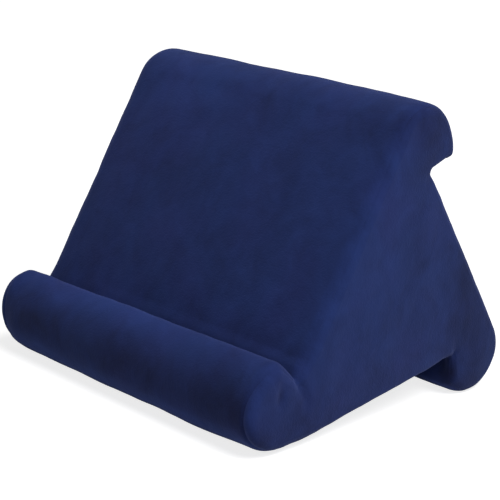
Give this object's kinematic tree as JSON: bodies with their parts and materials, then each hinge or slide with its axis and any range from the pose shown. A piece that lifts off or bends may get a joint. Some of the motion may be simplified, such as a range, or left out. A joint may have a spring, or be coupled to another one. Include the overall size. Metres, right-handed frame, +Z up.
{
  "type": "tablet cushion stand",
  "caption": "Soft wedge cushion with round rolls and long notches that holds a tablet at an angle on a lap, bed or table.",
  "frame": {"origin": "on the floor, at the middle of the footprint", "axes": "+X along the rolls, +Y from the front roll to the rear roll, +Z up; the tablet leans on the face that looks to -Y"},
  "size_m": [0.288, 0.279, 0.236],
  "materials": {
    "plush": "short-pile plush, deep navy",
    "foam": "open-cell cushion foam, cream",
    "zip_cloth": "woven tape, navy",
    "nylon": "moulded coil, navy",
    "nickel": "nickel plate, satin"
  },
  "bodies": {
    "cushion": {"foam_core": "foam", "front_panel": "plush", "base_panel": "plush", "back_panel": "plush", "side_panel_left": "plush", "side_panel_right": "plush", "zip_tape_front": "zip_cloth", "zip_tape_rear": "zip_cloth", "zip_coil_front": "nylon", "zip_coil_rear": "nylon", "zip_stop_left": "nickel", "zip_stop_right": "nickel"},
    "zip_slider": {"zip_slider": "nickel"},
    "zip_pull": {"zip_pull": "nickel"}
  },
  "joints": [
    {"name": "zip_slide", "type": "slide", "parent": "cushion", "child": "zip_slider", "axis": [1, 0, 0], "range_m": [0, 0.228]},
    {"name": "pull_swing", "type": "hinge", "parent": "zip_slider", "child": "zip_pull", "pos_m": [-0.114, 0.05656, 0.026], "axis": [0, 0.9843, 0.1766], "range_deg": [-85, 85]}
  ]
}
